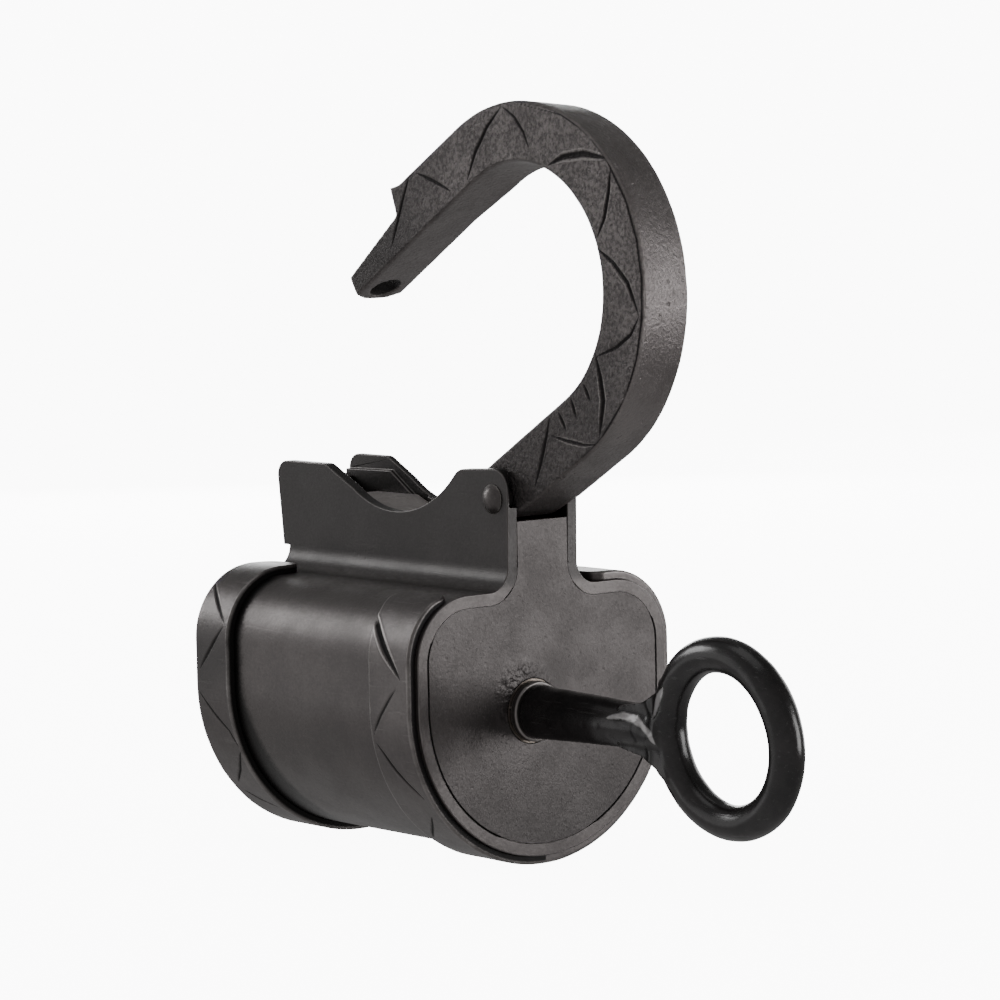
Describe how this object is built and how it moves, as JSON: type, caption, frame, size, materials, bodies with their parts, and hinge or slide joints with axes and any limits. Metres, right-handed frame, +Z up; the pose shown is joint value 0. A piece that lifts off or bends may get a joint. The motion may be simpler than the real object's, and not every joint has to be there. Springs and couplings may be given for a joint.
{
  "type": "padlock",
  "caption": "Forged barrel padlock with a hinged flat shackle, swung open, and a ring-handled screw key that draws back a spring bolt",
  "frame": {"origin": "on the barrel's axis at the outer face of the rear end plate", "axes": "+X along the barrel towards the key, +Y across the cheeks, +Z up towards the shackle"},
  "size_m": [0.147, 0.0658, 0.147],
  "materials": {
    "dark_iron": "forged, oiled, satin",
    "shackle_iron": "forged, finely pitted, satin",
    "worn_iron": "worn bright",
    "black_iron": "oil-blackened, glossy",
    "inner_iron": "as forged",
    "oiled_steel": "filed and oiled",
    "spring_steel": "blued"
  },
  "bodies": {
    "case": {"barrel_shell": "dark_iron", "front_end_plate": "dark_iron", "rear_end_plate": "dark_iron", "front_band": "dark_iron", "rear_band": "dark_iron", "saddle_plate": "dark_iron", "hinge_pin": "worn_iron", "bolt_guide": "dark_iron", "guide_rods": "oiled_steel", "key_bush": "worn_iron", "spring_seat": "oiled_steel"},
    "bolt": {"bolt_carriage": "inner_iron", "bolt_nut": "oiled_steel", "locking_bolt": "oiled_steel", "bolt_washer": "inner_iron", "return_spring": "spring_steel"},
    "shackle": {"shackle": "shackle_iron"},
    "washer": {"key_washer": "worn_iron"},
    "key": {"key_shank": "black_iron", "key_ring": "black_iron"}
  },
  "joints": [
    {"name": "shackle_hinge", "type": "hinge", "parent": "case", "child": "shackle", "pos_m": [0.0655, 0, 0.0384], "axis": [0, -1, 0], "range_deg": [0, 59]},
    {"name": "key_withdraw", "type": "slide", "parent": "case", "child": "washer", "axis": [1, 0, 0], "range_m": [0, 0.045]},
    {"name": "key_turn", "type": "hinge", "parent": "washer", "child": "key", "pos_m": [0.0697, -0.00314, -0.00254], "axis": [1, 0, 0], "range_deg": [0, 1440]},
    {"name": "bolt_slide", "type": "slide", "parent": "case", "child": "bolt", "axis": [-1, 0, 0], "range_m": [0, 0.0084], "deforming": ["return_spring"]}
  ],
  "couplings": [
    {"joint": "bolt_slide", "follows": "key_turn", "m_per_rad": 0.00033422}
  ]
}
